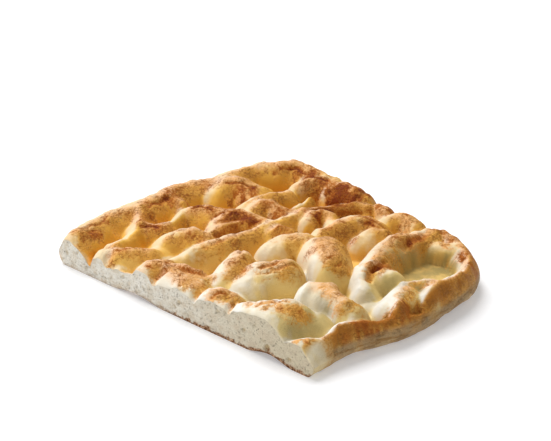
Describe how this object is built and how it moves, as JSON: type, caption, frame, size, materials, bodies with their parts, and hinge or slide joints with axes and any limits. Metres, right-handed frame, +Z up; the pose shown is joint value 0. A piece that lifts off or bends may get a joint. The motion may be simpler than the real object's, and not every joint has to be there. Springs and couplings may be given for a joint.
{
  "type": "flatbread half",
  "caption": "Half of a thick dimpled flatbread, cut straight across, with puffed browned mounds, pale finger dimples and a raised baked rim.",
  "frame": {"origin": "centre of the bounding box, at the height of the surface the loaf rests on", "axes": "+Z up, -Y out of the straight cut face, X along the cut"},
  "size_m": [0.2814, 0.227, 0.0374],
  "materials": {
    "bread": "dry baked crust, golden in the dimples and browner on the mounds, with pale crumb on the cut face"
  },
  "bodies": {
    "root": {"bread": "bread"}
  },
  "joints": []
}
